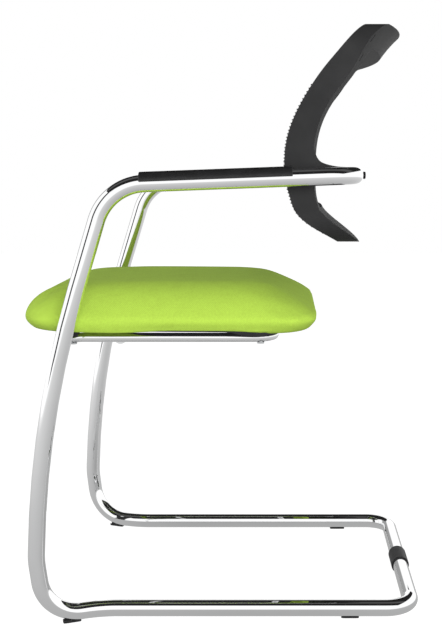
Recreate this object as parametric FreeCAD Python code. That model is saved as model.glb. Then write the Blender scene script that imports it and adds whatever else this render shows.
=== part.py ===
import FreeCAD, Part
import math
import os

# Conference chair: a cantilever visitor chair on a bent round tube frame with arms.
# All lengths are millimetres. The sitter faces -Y, +X is the sitter's left and +Z is up.
# The origin is on the floor under the middle of the chair's footprint.

# tube frame
tube_diameter = 25.0
tube_wall = 2.0
arm_spacing = 489.0
runner_spacing = 420.0
back_tube_reach = 194.2
back_tube_height = 668.5
arm_corner_reach = 159.3
arm_corner_height = 655.4
upright_mid_reach = 267.2
upright_mid_height = 315.7
upright_low_reach = 276.2
upright_low_height = 102.4
foot_corner_reach = 266.2
foot_corner_spacing = 482.8
kink_reach = 188.3
base_reach = 287.2
plan_bend_radius = 42.0
arm_bend_radius = 75.0
upright_bend_radius = 1500.0
upright_low_radius = 120.0
foot_bend_radius = 62.0
kink_bend_radius = 138.0

# joints in the middle of the two cross runs
spigot_length = 80.0
spigot_wall = 2.0
spigot_fit = 0.1
base_sleeve_length = 56.0
base_sleeve_wall = 2.2
base_sleeve_chamfer = 0.8
skin_fit = 0.1

# floor glides
glide_height = 2.5
glide_length = 23.0
front_glide_width = 10.0
rear_glide_width = 17.0
glide_side_height = 6.5
front_glide_setback = 40.0
rear_glide_reach = 191.7
glide_rounding = 4.0
glide_screw_diameter = 4.0
glide_screw_length = 9.0
glide_screw_head_diameter = 7.0
glide_screw_head_height = 1.2

# seat support rail
rail_diameter = 14.0
rail_wall = 1.5
rail_spacing = 364.0
rail_height = 427.8
rail_rear_reach = 76.2
rail_front_radius = 20.0
rail_rear_radius = 32.0
cross_rod_diameter = 12.0
cross_rod_setback = 75.0
weld_bead_size = 4.0

# seat cushion, in its own tilted frame: height is measured from the cushion's underside, which lies a little
# above the middle of the rail
seat_rise = 9.0
seat_base_height = rail_height + seat_rise
seat_tilt = 0.5
seat_half_width = 222.0
seat_front_reach = 301.4
seat_rear_reach = 143.7
seat_thickness = 67.6
seat_corner_radius = 66.0
cover_thickness = 1.6
cover_return_width = 14.0
# one row for each level of the cushion: the level as a share of the thickness, then how far the front edge,
# the rear edge and the sides draw in from the widest outline, as shares of the seat's half width
cushion_level_shares = [
    (0.00, 0.095, 0.105, 0.065),
    (0.03, 0.042, 0.046, 0.029),
    (0.08, 0.012, 0.013, 0.008),
    (0.16, 0.000, 0.000, 0.000),
    (0.30, 0.001, 0.031, 0.015),
    (0.45, 0.007, 0.081, 0.048),
    (0.60, 0.031, 0.143, 0.098),
    (0.72, 0.080, 0.203, 0.151),
    (0.81, 0.150, 0.258, 0.201),
    (0.88, 0.244, 0.309, 0.252),
    (0.94, 0.382, 0.366, 0.310),
    (0.98, 0.557, 0.423, 0.370),
    (1.00, 0.850, 0.496, 0.450),
]
seat_board_thickness = 12.0
seat_board_inset = 27.0
seat_board_side_inset = 20.0
seat_board_corner_radius = 60.0
seat_pan_thickness = 2.5
seat_pan_fit = 0.2
seat_pan_corner_radius = 50.0

# seat fixings
saddle_length = 36.0
saddle_width = 34.0
saddle_rounding = 3.0
rear_saddle_reach = 56.2
seat_screw_diameter = 6.0
seat_screw_hole_fit = 0.15
seat_screw_head_diameter = 11.0
seat_screw_head_height = 2.4
seat_screw_spot_face = 0.4
tee_nut_barrel_diameter = 8.0
tee_nut_flange_diameter = 16.0
tee_nut_flange_thickness = 1.4

# arm pads
pad_front_setback = 46.0
pad_length = 217.0
pad_wall = 4.0
pad_half_angle = 76.0
pad_end_rounding = 1.5
pad_screw_diameter = 4.0
pad_screw_head_diameter = 8.0
pad_screw_head_height = 1.6
pad_screw_inset = 35.0

# back frame: side blades, top rail, bottom rail and lugs
back_half_width = 215.0
back_bottom_height = 571.0
back_top_height = 884.0
back_front_reach = 91.7
back_depth = 145.0
blade_width = 25.0
top_rail_height = 34.0
bottom_rail_height = 50.0
back_top_corner = 30.0
back_bottom_corner = 36.0
back_window_corner = 26.0
back_top_bow = 42.0
back_bottom_bow = 4.0
# outline of the blade seen from the side: height as a share of the back's height, then the places of the
# front and rear edges as shares of the back's depth
back_profile_shares = [
    (0.0, 0.535, 0.757),
    (0.055, 0.340, 0.600),
    (0.11, 0.172, 0.443),
    (0.15, 0.100, 0.357),
    (0.21, 0.055, 0.308),
    (0.27, 0.020, 0.292),
    (0.376, 0.0, 0.286),
    (0.467, 0.018, 0.298),
    (0.57, 0.088, 0.357),
    (0.68, 0.212, 0.491),
    (0.79, 0.373, 0.665),
    (0.88, 0.537, 0.775),
    (1.0, 0.742, 0.965),
]
back_stations = 7
back_loft_degree = 3
carrier_depth = 6.0
carrier_inset = 3.0
mesh_thickness = 1.2
mesh_inset = 5.0
mesh_rib = 2.2
mesh_pitch = 5.6
mesh_columns = 6
lug_width = 48.0
lug_bottom_drop = 10.0
lug_top_drop = 1.0
lug_root_reach = 134.0
lug_root_rise = 26.0
lug_root_depth = 14.0
lug_reach_over = 2.0
# crest of the lug from the blade to its tip: reach along it, then rise above the tip, as shares
lug_profile_shares = [
    (0.0, 1.0),
    (0.05, 0.68),
    (0.13, 0.37),
    (0.30, 0.17),
    (0.56, 0.045),
    (1.0, 0.0),
]
back_bolt_diameter = 6.0
back_bolt_head_diameter = 10.5
back_bolt_head_height = 3.0
back_bolt_spot_face = 0.4
back_bolt_spacing = 22.0
back_insert_diameter = 9.0
back_insert_length = 16.0
back_insert_recess = 1.0
hook_width = 4.0
hook_height = 10.0
hook_recess = 2.0
hook_side_inset = 11.0
# heights of the carrier's hooks as shares of the back's height
hook_height_shares = (0.845, 0.93)

# how far cutting bodies run past what they cut
overrun = 5.0


def vec(x, y, z):
    return FreeCAD.Vector(x, y, z)


def save(name, shape):
    shape.exportStep("parts/" + name + ".step")


def group(shapes):
    return Part.makeCompound(shapes)


def bent_path(points, radii):
    """Straight runs through the points, joined by tangent arcs of the given radii."""
    edges = []
    start = points[0]
    for index, radius in enumerate(radii):
        corner = points[index + 1]
        back = (points[index] - corner).normalize()
        ahead = (points[index + 2] - corner).normalize()
        turn = math.pi - back.getAngle(ahead)
        setback = radius * math.tan(turn / 2)
        arc_start = corner + back * setback
        arc_end = corner + ahead * setback
        inward = (back + ahead).normalize()
        centre = corner + inward * (radius / math.cos(turn / 2))
        middle = centre - inward * radius
        edges.append(Part.LineSegment(start, arc_start).toShape())
        edges.append(Part.Arc(arc_start, middle, arc_end).toShape())
        start = arc_end
    edges.append(Part.LineSegment(start, points[-1]).toShape())
    return Part.Wire(edges)


def bar(path, radius):
    """A round bar swept along the path."""
    first = path.OrderedEdges[0]
    start = first.valueAt(first.FirstParameter)
    heading = first.tangentAt(first.FirstParameter)
    ring = Part.Wire(Part.makeCircle(radius, start, heading))
    return path.makePipeShell([ring], True, False)


def rounded_plate(front, rear, half_width, corner, height, thickness, rear_corner=None):
    """A level plate with round corners, from its front edge to its rear edge."""
    face = Part.Face(rounded_outline(front, rear, half_width, corner, height, rear_corner))
    return face.extrude(vec(0, 0, thickness))


def rounded_outline(front, rear, half_width, corner, height, rear_corner=None):
    """A closed wire of four lines and four quarter arcs in a level plane."""
    far = rear_corner or corner
    centres = [
        (half_width - far, rear - far, far, 0),
        (far - half_width, rear - far, far, 90),
        (corner - half_width, front + corner, corner, 180),
        (half_width - corner, front + corner, corner, 270),
    ]
    arcs = []
    for x, y, radius, angle in centres:
        circle = Part.Circle(vec(x, y, height), vec(0, 0, 1), radius)
        arcs.append(Part.ArcOfCircle(circle, math.radians(angle), math.radians(angle + 90)).toShape())
    edges = []
    for index, arc in enumerate(arcs):
        following = arcs[(index + 1) % len(arcs)]
        edges.append(arc)
        edges.append(Part.LineSegment(arc.valueAt(arc.LastParameter),
                                      following.valueAt(following.FirstParameter)).toShape())
    return Part.Wire(edges)


def cylinder(radius, start, end):
    span = end - start
    return Part.makeCylinder(radius, span.Length, start, span)


# tube frame
tube_radius = tube_diameter / 2
tube_bore = tube_radius - tube_wall
floor_run_height = glide_height + tube_radius


def frame_corners(side):
    arm_x = side * arm_spacing / 2
    runner_x = side * runner_spacing / 2
    return [
        vec(0, back_tube_reach, back_tube_height),
        vec(arm_x, back_tube_reach, back_tube_height),
        vec(arm_x, -arm_corner_reach, arm_corner_height),
        vec(arm_x, -upright_mid_reach, upright_mid_height),
        vec(arm_x, -upright_low_reach, upright_low_height),
        vec(side * foot_corner_spacing / 2, -foot_corner_reach, floor_run_height),
        vec(runner_x, -kink_reach, floor_run_height),
        vec(runner_x, base_reach, floor_run_height),
        vec(0, base_reach, floor_run_height),
    ]


frame_radii = [
    plan_bend_radius,
    arm_bend_radius,
    upright_bend_radius,
    upright_low_radius,
    foot_bend_radius,
    kink_bend_radius,
    plan_bend_radius,
]
def upright_reach(path, height):
    """How far along Y the upright's centre line is at a given height."""
    points = path.discretize(path_samples)
    for before, after in zip(points, points[1:]):
        if before.y < 0 and before.z >= height > after.z:
            share = (before.z - height) / (before.z - after.z)
            return before.y + share * (after.y - before.y)
    raise ValueError("the upright does not reach this height")


path_samples = 400
sides = (("left", 1), ("right", -1))
frame_path = {}
frame_bar = {}
frame_tube = {}
for name, side in sides:
    frame_path[name] = bent_path(frame_corners(side), frame_radii)
    frame_bar[name] = bar(frame_path[name], tube_radius)
    frame_tube[name] = frame_bar[name].cut(bar(frame_path[name], tube_bore))


# spigots in the two joints of the frame, and the sleeve over the joint on the floor
def spigot(reach, height):
    ends = [vec(x * spigot_length / 2, reach, height) for x in (-1, 1)]
    radius = tube_bore - spigot_fit
    return cylinder(radius, *ends).cut(cylinder(radius - spigot_wall, *ends))


base_spigot = spigot(base_reach, floor_run_height)
back_spigot = spigot(back_tube_reach, back_tube_height)

sleeve_ends = [vec(x * base_sleeve_length / 2, base_reach, floor_run_height) for x in (-1, 1)]
sleeve_bore = tube_radius + skin_fit
base_sleeve = cylinder(sleeve_bore + base_sleeve_wall, *sleeve_ends)
base_sleeve = base_sleeve.makeChamfer(base_sleeve_chamfer, [e for e in base_sleeve.Edges if e.Closed])
base_sleeve = base_sleeve.cut(cylinder(sleeve_bore, *sleeve_ends))


# floor glides, one under each end of each runner, with a screw up into the tube
def glide_block(centre, heading, width):
    outline = rounded_outline(-glide_length / 2, glide_length / 2, width / 2, glide_rounding, 0)
    block = Part.Face(outline).extrude(vec(0, 0, glide_side_height))
    turn = math.degrees(math.atan2(-heading.x, heading.y))
    block.rotate(vec(0, 0, 0), vec(0, 0, 1), turn)
    block.translate(centre)
    return block


def glide_screw(centre):
    head_bottom = centre + vec(0, 0, glide_height - glide_screw_head_height) / 2
    head_top = head_bottom + vec(0, 0, glide_screw_head_height)
    head = cylinder(glide_screw_head_diameter / 2, head_bottom, head_top)
    return head.fuse(cylinder(glide_screw_diameter / 2, head_top, head_top + vec(0, 0, glide_screw_length)))


glides = {}
glide_screws = []
for name, side in sides:
    foot = vec(side * foot_corner_spacing / 2, -foot_corner_reach, 0)
    kink = vec(side * runner_spacing / 2, -kink_reach, 0)
    inward = (kink - foot).normalize()
    places = {
        "front": (foot + inward * front_glide_setback, inward, front_glide_width),
        "rear": (vec(side * runner_spacing / 2, rear_glide_reach, 0), vec(0, 1, 0), rear_glide_width),
    }
    for place, (centre, heading, width) in places.items():
        screw = glide_screw(centre)
        access = cylinder(glide_screw_head_diameter / 2, centre - vec(0, 0, overrun),
                          centre + vec(0, 0, glide_height / 2))
        block = glide_block(centre, heading, width)
        glides["glide_" + place + "_" + name] = block.cut([frame_bar[name], screw, access])
        frame_tube[name] = frame_tube[name].cut(screw)
        glide_screws.append(screw)


# seat support: a bent rail welded to the insides of the uprights, with a cross rod near the front
rail_radius = rail_diameter / 2
rail_x = rail_spacing / 2
upright_x = arm_spacing / 2
rail_front = upright_reach(frame_path["left"], rail_height)
rail_corners = [
    vec(upright_x, rail_front, rail_height),
    vec(rail_x, rail_front, rail_height),
    vec(rail_x, rail_rear_reach, rail_height),
    vec(-rail_x, rail_rear_reach, rail_height),
    vec(-rail_x, rail_front, rail_height),
    vec(-upright_x, rail_front, rail_height),
]
rail_path = bent_path(rail_corners, [rail_front_radius, rail_rear_radius, rail_rear_radius, rail_front_radius])
rail_bar = bar(rail_path, rail_radius)
seat_rail = rail_bar.cut(bar(rail_path, rail_radius - rail_wall)).cut([frame_bar["left"], frame_bar["right"]])

rod_reach = rail_front + cross_rod_setback
rod_ends = [vec(-rail_x, rod_reach, rail_height), vec(rail_x, rod_reach, rail_height)]
cross_rod = cylinder(cross_rod_diameter / 2, *rod_ends).cut(rail_bar)


def weld_bead(inner, outer, radius):
    """A ring of weld that widens from the bar towards the part that the bar meets."""
    span = outer - inner
    return Part.makeCone(radius + weld_bead_size / 4, radius + weld_bead_size, span.Length, inner, span)


welds = []
for name, side in sides:
    face = upright_x - tube_radius
    inner = vec(side * (face - weld_bead_size), rail_front, rail_height)
    bead = weld_bead(inner, vec(side * upright_x, rail_front, rail_height), rail_radius)
    welds.append(bead.cut([frame_bar[name], rail_bar]))
    face = rail_x - rail_radius
    inner = vec(side * (face - weld_bead_size), rod_reach, rail_height)
    bead = weld_bead(inner, vec(side * rail_x, rod_reach, rail_height), cross_rod_diameter / 2)
    welds.append(bead.cut([rail_bar, cross_rod]))


# seat cushion: a lofted pillow in its own level frame, tilted and lifted into place afterwards
def seat_placed(shape):
    placed = shape.copy()
    placed.rotate(vec(0, 0, 0), vec(1, 0, 0), -seat_tilt)
    placed.translate(vec(0, 0, seat_base_height))
    return placed


def seat_level(reach, height):
    """A height above the floor, at a place along Y, as a height in the cushion's own frame."""
    tilt = math.radians(seat_tilt)
    return (height - seat_base_height + reach * math.sin(tilt)) / math.cos(tilt)


def cushion_loft(inset):
    wires = []
    for level, front, rear, sides_in in cushion_level_shares:
        half = seat_half_width * (1 - sides_in) - inset
        wires.append(rounded_outline(
            -seat_front_reach + seat_half_width * front + inset,
            seat_rear_reach - seat_half_width * rear - inset,
            half,
            seat_corner_radius * half / seat_half_width,
            inset + level * (seat_thickness - 2 * inset),
        ))
    return Part.makeLoft(wires, True, True)


cushion_body = cushion_loft(0)
foam_body = cushion_loft(cover_thickness)
foot_draw = cushion_level_shares[0]
pan_front = -seat_front_reach + seat_half_width * foot_draw[1] + cover_return_width
pan_rear = seat_rear_reach - seat_half_width * foot_draw[2] - cover_return_width
pan_half = seat_half_width * (1 - foot_draw[3]) - cover_return_width


def pan_plate(grown, bottom, top):
    """The pan's outline, grown all round, between two levels."""
    return rounded_plate(pan_front - grown, pan_rear + grown, pan_half + grown, seat_pan_corner_radius,
                         bottom, top - bottom)


cover_opening = pan_plate(seat_pan_fit, -overrun, cover_thickness + overrun)
seat_cover = cushion_body.cut([foam_body, cover_opening])

board_bottom = seat_pan_thickness
board_top = board_bottom + seat_board_thickness


def board_plate(bottom, top):
    return rounded_plate(-seat_front_reach + seat_board_inset, seat_rear_reach - seat_board_inset,
                         seat_half_width - seat_board_side_inset, seat_board_corner_radius, bottom, top - bottom)


seat_board = board_plate(board_bottom, board_top)
seat_pan = pan_plate(0, 0, seat_pan_thickness)

# seat screws go up through the rail, a saddle and the pan into tee nuts in the board
bend_offset = rail_front_radius * (1 - math.sqrt(0.5))
saddle_places = []
for name, side in sides:
    saddle_places.append(("saddle_front_" + name, side * (rail_x + bend_offset), rail_front + bend_offset))
    saddle_places.append(("saddle_rear_" + name, side * rail_x, rear_saddle_reach))

saddles = {}
seat_screws = []
tee_nuts = []
for name, x, reach in saddle_places:
    bottom = seat_level(reach, rail_height - rail_radius) + seat_screw_spot_face
    shank = cylinder(seat_screw_diameter / 2, vec(x, reach, bottom), vec(x, reach, board_top))
    head_bottom = vec(x, reach, bottom - seat_screw_head_height)
    head = cylinder(seat_screw_head_diameter / 2, head_bottom, vec(x, reach, bottom))
    hole = cylinder(seat_screw_diameter / 2 + seat_screw_hole_fit, vec(x, reach, bottom - overrun),
                    vec(x, reach, board_top))
    nut_flange = cylinder(tee_nut_flange_diameter / 2, vec(x, reach, board_top - tee_nut_flange_thickness),
                          vec(x, reach, board_top))
    nut_barrel = cylinder(tee_nut_barrel_diameter / 2, vec(x, reach, board_bottom), vec(x, reach, board_top))
    nut = nut_flange.fuse(nut_barrel)
    seat_board = seat_board.cut(nut)
    seat_pan = seat_pan.cut(hole)
    seat_rail = seat_rail.cut([seat_placed(hole), seat_placed(head)])
    tee_nuts.append(seat_placed(nut.cut(shank)))
    seat_screws.append(seat_placed(shank.fuse(head)))
    saddle = Part.makeBox(saddle_width, saddle_length, seat_thickness,
                          vec(x - saddle_width / 2, reach - saddle_length / 2, seat_level(reach, rail_height)))
    saddle = saddle.makeFillet(saddle_rounding, [e for e in saddle.Edges if e.BoundBox.ZLength > seat_thickness / 2])
    above_pan = Part.makeBox(saddle_width + 2 * overrun, saddle_length + 2 * overrun, seat_thickness,
                             vec(x - saddle_width / 2 - overrun, reach - saddle_length / 2 - overrun, 0))
    saddles[name] = seat_placed(saddle.cut([above_pan, hole])).cut(rail_bar)

seat_foam = seat_placed(foam_body.cut([board_plate(0, board_top), cover_opening]))


# arm pads: thin half shells over the arms, screwed from below through the tube
arm_rise = math.atan2(back_tube_height - arm_corner_height, back_tube_reach + arm_corner_reach)


def arm_point(side, distance):
    """A point on the arm's centre line, a distance behind the corner where arm and upright meet."""
    return vec(side * upright_x, -arm_corner_reach + distance * math.cos(arm_rise),
               arm_corner_height + distance * math.sin(arm_rise))


def on_arm(shape, side, distance):
    """Moves a shape built along +Y from the origin to the arm."""
    placed = shape.copy()
    placed.rotate(vec(0, 0, 0), vec(1, 0, 0), math.degrees(arm_rise))
    placed.translate(arm_point(side, distance))
    return placed


def pad_shell():
    inner = tube_radius + skin_fit
    outer = inner + pad_wall
    ring = cylinder(outer, vec(0, 0, 0), vec(0, pad_length, 0))
    ring = ring.makeFillet(pad_end_rounding, [e for e in ring.Edges if e.Closed])
    ring = ring.cut(cylinder(inner, vec(0, -overrun, 0), vec(0, pad_length + overrun, 0)))
    edge = outer * math.cos(math.radians(pad_half_angle))
    below = Part.makeBox(2 * outer + 2 * overrun, pad_length + 2 * overrun, 2 * outer,
                         vec(-outer - overrun, -overrun, edge - 2 * outer))
    return ring.cut(below)


def pad_screw(distance):
    low = -tube_radius + pad_screw_head_height / 4
    high = tube_radius + skin_fit + pad_wall * 3 / 4
    head = Part.makeCone(pad_screw_head_diameter / 2, pad_screw_diameter / 2, pad_screw_head_height,
                         vec(0, distance, low), vec(0, 0, 1))
    return head.fuse(cylinder(pad_screw_diameter / 2, vec(0, distance, low), vec(0, distance, high)))


pads = {}
pad_screws = []
for name, side in sides:
    shell = pad_shell()
    for distance in (pad_screw_inset, pad_length - pad_screw_inset):
        shell = shell.cut(pad_screw(distance))
        screw = on_arm(pad_screw(distance), side, pad_front_setback)
        frame_tube[name] = frame_tube[name].cut(screw)
        pad_screws.append(screw)
    pads["arm_pad_" + name] = on_arm(shell, side, pad_front_setback)


# back frame: lofted across from blade to blade, then cut to its front outline and window
back_height = back_top_height - back_bottom_height


def back_bow(height_share, x):
    bow = back_bottom_bow + (back_top_bow - back_bottom_bow) * height_share
    return bow * (1 - (x / back_half_width) ** 2)


def back_curve(x, edge, offset):
    """The front edge (1) or rear edge (2) of the back at a station, moved back by an offset."""
    points = []
    for row in back_profile_shares:
        y = back_front_reach + row[edge] * back_depth + back_bow(row[0], x) + offset
        points.append(vec(x, y, back_bottom_height + row[0] * back_height))
    curve = Part.BSplineCurve()
    curve.interpolate(points)
    return curve.toShape(), points[0], points[-1]


def back_layer(near, far):
    """A layer of the back, each face given as its profile edge and its offset."""
    wires = []
    for index in range(back_stations):
        x = back_half_width * (2 * index / (back_stations - 1) - 1)
        front, front_low, front_high = back_curve(x, *near)
        rear, rear_low, rear_high = back_curve(x, *far)
        bottom = Part.LineSegment(rear_low, front_low).toShape()
        top = Part.LineSegment(front_high, rear_high).toShape()
        wires.append(Part.Wire([front, top, rear, bottom]))
    return Part.makeLoft(wires, True, False, False, back_loft_degree)


def back_outline(side_in, bottom_up, top_down, bottom_corner, top_corner):
    """A block of the back's front outline, drawn in from the sides, bottom and top."""
    depth = back_front_reach + 2 * back_depth
    block = rounded_plate(back_bottom_height + bottom_up, back_top_height - top_down, back_half_width - side_in,
                          bottom_corner, -depth, depth, top_corner)
    block.rotate(vec(0, 0, 0), vec(1, 0, 0), 90)
    return block


def lug(side):
    """A web from a blade's rear edge over the tube behind it."""
    top = back_tube_height + tube_radius - lug_top_drop
    bottom = back_tube_height - lug_bottom_drop
    tip = back_tube_reach + lug_reach_over
    points = []
    for reach_share, rise_share in lug_profile_shares:
        points.append(vec(0, lug_root_reach + reach_share * (tip - lug_root_reach), top + rise_share * lug_root_rise))
    crest = Part.BSplineCurve()
    crest.interpolate(points)
    inner_top = points[0] - vec(0, lug_root_depth, 0)
    corners = [points[-1], vec(0, tip, bottom), vec(0, inner_top.y, bottom), inner_top, points[0]]
    edges = [crest.toShape()]
    for before, after in zip(corners, corners[1:]):
        edges.append(Part.LineSegment(before, after).toShape())
    web = Part.Face(Part.Wire(edges)).extrude(vec(lug_width, 0, 0))
    web.translate(vec(side * (back_half_width - lug_width / 2) - lug_width / 2, 0, 0))
    return web


window = back_outline(blade_width, bottom_rail_height, top_rail_height, back_window_corner, back_window_corner)
carrier_outline = back_outline(carrier_inset, carrier_inset, carrier_inset, back_bottom_corner, back_top_corner)
mesh_outline = back_outline(mesh_inset, mesh_inset, mesh_inset, back_bottom_corner, back_top_corner)
back_frame = back_layer((1, 0), (2, 0)).common(back_outline(0, 0, 0, back_bottom_corner, back_top_corner))
back_frame = back_frame.fuse([lug(1), lug(-1)]).cut(window)
back_frame = back_frame.cut(back_layer((1, -overrun), (1, carrier_depth)).common(carrier_outline))
back_frame = back_frame.cut([bar(frame_path[name], tube_radius + skin_fit) for name, side in sides])
mesh_carrier = back_layer((1, mesh_thickness / 2), (1, carrier_depth)).common(carrier_outline).cut(window)
back_mesh = back_layer((1, -mesh_thickness / 2), (1, mesh_thickness / 2)).common(mesh_outline)


def mesh_cells():
    """Blocks for the open cells of the net, in rows and columns across the window."""
    low = back_bottom_height + bottom_rail_height + mesh_rib
    high = back_top_height - top_rail_height - mesh_rib
    half = back_half_width - blade_width - mesh_rib
    rows = round((high - low) / mesh_pitch)
    row_pitch = (high - low + mesh_rib) / rows
    column_pitch = (2 * half + mesh_rib) / mesh_columns
    depth = back_front_reach + back_depth
    cells = []
    for row in range(rows):
        for column in range(mesh_columns):
            corner = vec(column * column_pitch - half, 0, low + row * row_pitch)
            cells.append(Part.makeBox(column_pitch - mesh_rib, depth, row_pitch - mesh_rib, corner))
    inside = back_outline(blade_width + mesh_rib, bottom_rail_height + mesh_rib, top_rail_height + mesh_rib,
                          back_window_corner, back_window_corner)
    return group(cells).common(inside)


back_mesh = back_mesh.cut(mesh_cells())

# hooks of the carrier, pushed back through windows in the upper end of each blade
hook_windows = []
for name, side in sides:
    for share in hook_height_shares:
        corner = vec(side * (back_half_width - hook_side_inset) - hook_width / 2, 0,
                     back_bottom_height + share * back_height - hook_height / 2)
        hook_windows.append(Part.makeBox(hook_width, back_front_reach + 2 * back_depth, hook_height, corner))
hooks = back_layer((1, carrier_depth / 2), (2, -hook_recess)).common(group(hook_windows))
hook_windows = back_layer((1, carrier_depth), (2, overrun)).common(group(hook_windows))
mesh_carrier = mesh_carrier.fuse(hooks)
back_frame = back_frame.cut(hook_windows)

# bolts from behind, through the tube and into inserts in the lugs
back_bolts = []
back_inserts = []
head_seat = back_tube_reach + tube_radius - back_bolt_spot_face
insert_end = back_tube_reach - tube_radius - skin_fit - back_insert_recess
for name, side in sides:
    for step in (-1, 1):
        x = side * (back_half_width - lug_width / 2) + step * back_bolt_spacing / 2
        seat = vec(x, head_seat, back_tube_height)
        tip = vec(x, insert_end - back_insert_length, back_tube_height)
        head = cylinder(back_bolt_head_diameter / 2, seat, seat + vec(0, back_bolt_head_height, 0))
        rim = [e for e in head.Edges if e.Closed and e.BoundBox.YMin > head_seat + back_bolt_head_height / 2]
        head = head.makeFillet(back_bolt_head_height / 2, rim)
        bolt = head.fuse(cylinder(back_bolt_diameter / 2, tip, seat))
        insert = cylinder(back_insert_diameter / 2, tip, vec(x, insert_end, back_tube_height))
        insert_bore = cylinder(back_insert_diameter / 2, tip, vec(x, back_tube_reach, back_tube_height))
        back_frame = back_frame.cut(insert_bore)
        frame_tube[name] = frame_tube[name].cut(bolt)
        back_bolts.append(bolt)
        back_inserts.append(insert.cut(bolt))

os.makedirs("parts", exist_ok=True)
save("frame_tube_left", frame_tube["left"])
save("frame_tube_right", frame_tube["right"])
save("base_spigot", base_spigot)
save("back_tube_spigot", back_spigot)
save("base_sleeve", base_sleeve)
for name, shape in glides.items():
    save(name, shape)
save("glide_screws", group(glide_screws))
save("seat_rail", seat_rail)
save("seat_cross_rod", cross_rod)
save("seat_rail_welds", group(welds))
save("seat_cover", seat_placed(seat_cover))
save("seat_foam", seat_foam)
save("seat_board", seat_placed(seat_board))
save("seat_pan", seat_placed(seat_pan))
for name, shape in saddles.items():
    save(name, shape)
save("seat_screws", group(seat_screws))
save("seat_tee_nuts", group(tee_nuts))
for name, shape in pads.items():
    save(name, shape)
save("arm_pad_screws", group(pad_screws))
save("back_frame", back_frame)
save("mesh_carrier", mesh_carrier)
save("back_mesh", back_mesh)
save("back_bolts", group(back_bolts))
save("back_inserts", group(back_inserts))
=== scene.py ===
import math

import bmesh
import bpy
from mathutils import Matrix, Vector
from mathutils.bvhtree import BVHTree


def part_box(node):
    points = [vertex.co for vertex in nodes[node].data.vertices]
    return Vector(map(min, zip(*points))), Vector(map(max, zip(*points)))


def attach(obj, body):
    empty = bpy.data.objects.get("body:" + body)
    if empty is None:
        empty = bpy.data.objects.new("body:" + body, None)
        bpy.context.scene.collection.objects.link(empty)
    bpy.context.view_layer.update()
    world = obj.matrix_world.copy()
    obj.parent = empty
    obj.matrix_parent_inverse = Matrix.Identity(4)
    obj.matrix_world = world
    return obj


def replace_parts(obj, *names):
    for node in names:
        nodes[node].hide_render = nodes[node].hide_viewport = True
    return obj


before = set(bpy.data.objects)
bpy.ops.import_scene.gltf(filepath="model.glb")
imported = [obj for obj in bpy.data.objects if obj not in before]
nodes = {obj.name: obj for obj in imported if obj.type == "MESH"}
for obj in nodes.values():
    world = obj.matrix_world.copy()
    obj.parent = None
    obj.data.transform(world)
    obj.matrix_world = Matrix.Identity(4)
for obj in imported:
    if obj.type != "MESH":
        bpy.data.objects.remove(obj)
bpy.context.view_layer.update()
print("frame loaded,", len(nodes), "nodes")


# camera and studio
view = {
    "place": (1.8111, 0.0917, 0.6778),
    "tiltDown": 7.9,
    "lens": 61.59,
    "shiftAcross": -0.0987,
}
cameraData = bpy.data.cameras.new("photoCamera")
camera = bpy.data.objects.new("photoCamera", cameraData)
bpy.context.scene.collection.objects.link(camera)
camera.location = view["place"]
camera.rotation_euler = (math.radians(90 - view["tiltDown"]), 0, math.radians(90))
cameraData.sensor_width = 36
cameraData.lens = view["lens"]
cameraData.shift_x = view["shiftAcross"]
cameraData.clip_end = 60
bpy.context.scene.camera = camera
bpy.context.scene.view_settings.view_transform = "Standard"


# small helpers for node trees
def addNode(tree, kind, values=None, **settings):
    node = tree.nodes.new("ShaderNode" + kind)
    for name, value in settings.items():
        setattr(node, name, value)
    for socket, value in (values or {}).items():
        node.inputs[socket].default_value = value
    return node


def join(tree, source, target):
    tree.links.new(source, target)


def mathNode(tree, operation, first, second=None):
    node = addNode(tree, "Math", operation=operation)
    for index, value in enumerate((first, second)):
        if value is None:
            continue
        if isinstance(value, (int, float)):
            node.inputs[index].default_value = value
        else:
            join(tree, value, node.inputs[index])
    return node.outputs[0]


def centred(tree, value, factor):
    # the value times the factor, moved so that zero lands on a half
    scaled = mathNode(tree, "MULTIPLY_ADD", value, factor)
    scaled.node.inputs[2].default_value = 0.5
    return scaled


def rampNode(tree, source, stops, smooth=True):
    ramp = addNode(tree, "ValToRGB")
    ramp.color_ramp.interpolation = "EASE" if smooth else "LINEAR"
    elements = ramp.color_ramp.elements
    while len(elements) < len(stops):
        elements.new(0.5)
    for element, (place, colour) in zip(elements, stops):
        element.position = place
        element.color = (*colour, 1) if len(colour) == 3 else colour
    join(tree, source, ramp.inputs["Fac"])
    return ramp.outputs["Color"]


# the room: bright walls, a dim ceiling and a pale floor. What lights the chair and what its chrome
# mirrors are set apart. A bearing is in degrees, from the near side (+X) round the front to the far side
studio = {
    "wallLight": 1.12,
    "farLight": 0.5,
    "ceilingLight": 0.14,
    "groundLight": 0.4,
    "wallMirror": 1.12,
    "gapAt": 55,
    "gapWide": 17,
    "gapEdge": 1.5,
    "gapShade": 0.03,
    "curtainFrom": 128,
    "curtainTo": 166,
    "curtainFadeIn": 9,
    "curtainFadeOut": 3,
    "curtainShade": 0.36,
    "floorReach": 7.0,
    "floorShade": 0.3,
    "floorLift": 0.92,
    "boardShade": 0.018,
    "boardStripe": 0.09,
    "boardHeight": 2.2,
    "boardBox": (-5.2, 1.95, -1.9, 2.6),
}
# which light comes from which height: 0 is straight down, 0.5 level and 1 straight up
skyStops = [(0.0, "groundLight"), (0.44, "groundLight"), (0.5, "wallLight"), (0.66, "wallLight"),
            (0.9, "ceilingLight"), (1.0, "ceilingLight")]
# brightness of the mirrored floor by distance from the chair, in metres: a painted shade, darkest under the
# chair
floorShadeRings = [(0.0, 0.36), (0.5, 0.52), (1.4, 0.64), (3.0, 0.74), (4.2, 0.95), (4.6, 1.12)]


def grey(level):
    return (level,) * 3


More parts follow.
